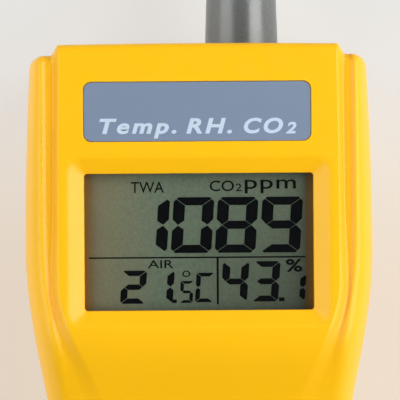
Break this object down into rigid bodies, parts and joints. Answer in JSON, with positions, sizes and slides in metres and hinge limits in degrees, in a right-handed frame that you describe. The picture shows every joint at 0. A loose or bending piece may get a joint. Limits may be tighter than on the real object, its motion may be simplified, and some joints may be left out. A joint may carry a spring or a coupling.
{
  "type": "air quality monitor",
  "caption": "Handheld air quality monitor with a raised display head, oval rubber keys, a slim vented probe, side rails, a rear battery door and a flap over its sockets.",
  "frame": {"origin": "centre of the bounding box's bottom face, on the flat back of the rear shell that it lies on", "axes": "+Z out of the display, +Y along the case towards the probe's tip, +X to the reader's right"},
  "size_m": [0.07, 0.205, 0.048],
  "materials": {
    "case": "satin moulded yellow-orange ABS",
    "rubber": "matte blue-grey silicone rubber",
    "probe": "fine-grained dark grey",
    "label": "satin printed blue-grey",
    "clear": "clear acrylic",
    "display": "grey-green reflective display",
    "white_plastic": "white moulded plastic",
    "board": "green solder mask",
    "chip": "black moulded plastic",
    "steel": "nickel-plated steel",
    "foam": "dark grey soft rubber and foam",
    "brass": "gold-flashed metal",
    "cell_wrap": "shrink-wrapped cell",
    "red_wire": "red wire sleeve",
    "black_wire": "black wire sleeve"
  },
  "bodies": {
    "case": {"front_shell": "case", "rear_shell": "case", "label_plate": "label", "display_lens": "clear", "lcd_glass": "display", "backlight_panel": "white_plastic", "display_holder": "white_plastic", "contact_strip_upper": "foam", "contact_strip_lower": "foam", "keypad_mat": "rubber", "main_board": "board", "processor_chip": "chip", "driver_chip": "chip", "crystal": "steel", "buzzer": "chip", "co2_gas_cell": "brass", "co2_sensor_board": "board", "co2_header": "chip", "vent_filter": "foam", "dc_jack": "chip", "signal_jack": "chip", "battery_holder": "chip", "cell_outer_left": "cell_wrap", "cell_outer_right": "cell_wrap", "cell_inner_left": "cell_wrap", "cell_inner_right": "cell_wrap", "spring_outer_left": "steel", "spring_outer_right": "steel", "spring_inner_left": "steel", "spring_inner_right": "steel", "contact_bridge_lower": "steel", "contact_bridge_upper": "steel", "contact_left": "steel", "contact_positive": "steel", "contact_negative": "steel", "battery_lead_red": "red_wire", "battery_lead_black": "black_wire", "probe_lead": "black_wire", "case_screw_head_right": "steel", "case_screw_head_left": "steel", "case_screw_foot_right": "steel", "case_screw_foot_left": "steel", "probe_tube": "probe", "probe_cap": "probe", "probe_filter": "steel", "probe_board": "board", "humidity_sensor": "white_plastic", "temperature_bead": "chip"},
    "key_left_1": {"key_left_1": "rubber"},
    "key_right_1": {"key_right_1": "rubber"},
    "key_left_2": {"key_left_2": "rubber"},
    "key_right_2": {"key_right_2": "rubber"},
    "key_left_3": {"key_left_3": "rubber"},
    "key_right_3": {"key_right_3": "rubber"},
    "battery_door": {"battery_door": "case", "battery_door_screw": "steel"},
    "jack_cover": {"jack_cover": "rubber"}
  },
  "joints": [
    {"name": "press_key_left_1", "type": "slide", "parent": "case", "child": "key_left_1", "axis": [0, 0, -1], "range_m": [0, 0.0009], "stiffness_N_per_m": 500},
    {"name": "press_key_right_1", "type": "slide", "parent": "case", "child": "key_right_1", "axis": [0, 0, -1], "range_m": [0, 0.0009], "stiffness_N_per_m": 500},
    {"name": "press_key_left_2", "type": "slide", "parent": "case", "child": "key_left_2", "axis": [0, 0, -1], "range_m": [0, 0.0009], "stiffness_N_per_m": 500},
    {"name": "press_key_right_2", "type": "slide", "parent": "case", "child": "key_right_2", "axis": [0, 0, -1], "range_m": [0, 0.0009], "stiffness_N_per_m": 500},
    {"name": "press_key_left_3", "type": "slide", "parent": "case", "child": "key_left_3", "axis": [0, 0, -1], "range_m": [0, 0.0009], "stiffness_N_per_m": 500},
    {"name": "press_key_right_3", "type": "slide", "parent": "case", "child": "key_right_3", "axis": [0, 0, -1], "range_m": [0, 0.0009], "stiffness_N_per_m": 500},
    {"name": "battery_door_off", "type": "slide", "parent": "case", "child": "battery_door", "axis": [0, 0, -1], "range_m": [0, 0.03]},
    {"name": "jack_cover_flap", "type": "hinge", "parent": "case", "child": "jack_cover", "pos_m": [0, -0.1025, 0.0242], "axis": [1, 0, 0], "range_deg": [0, 110]}
  ]
}
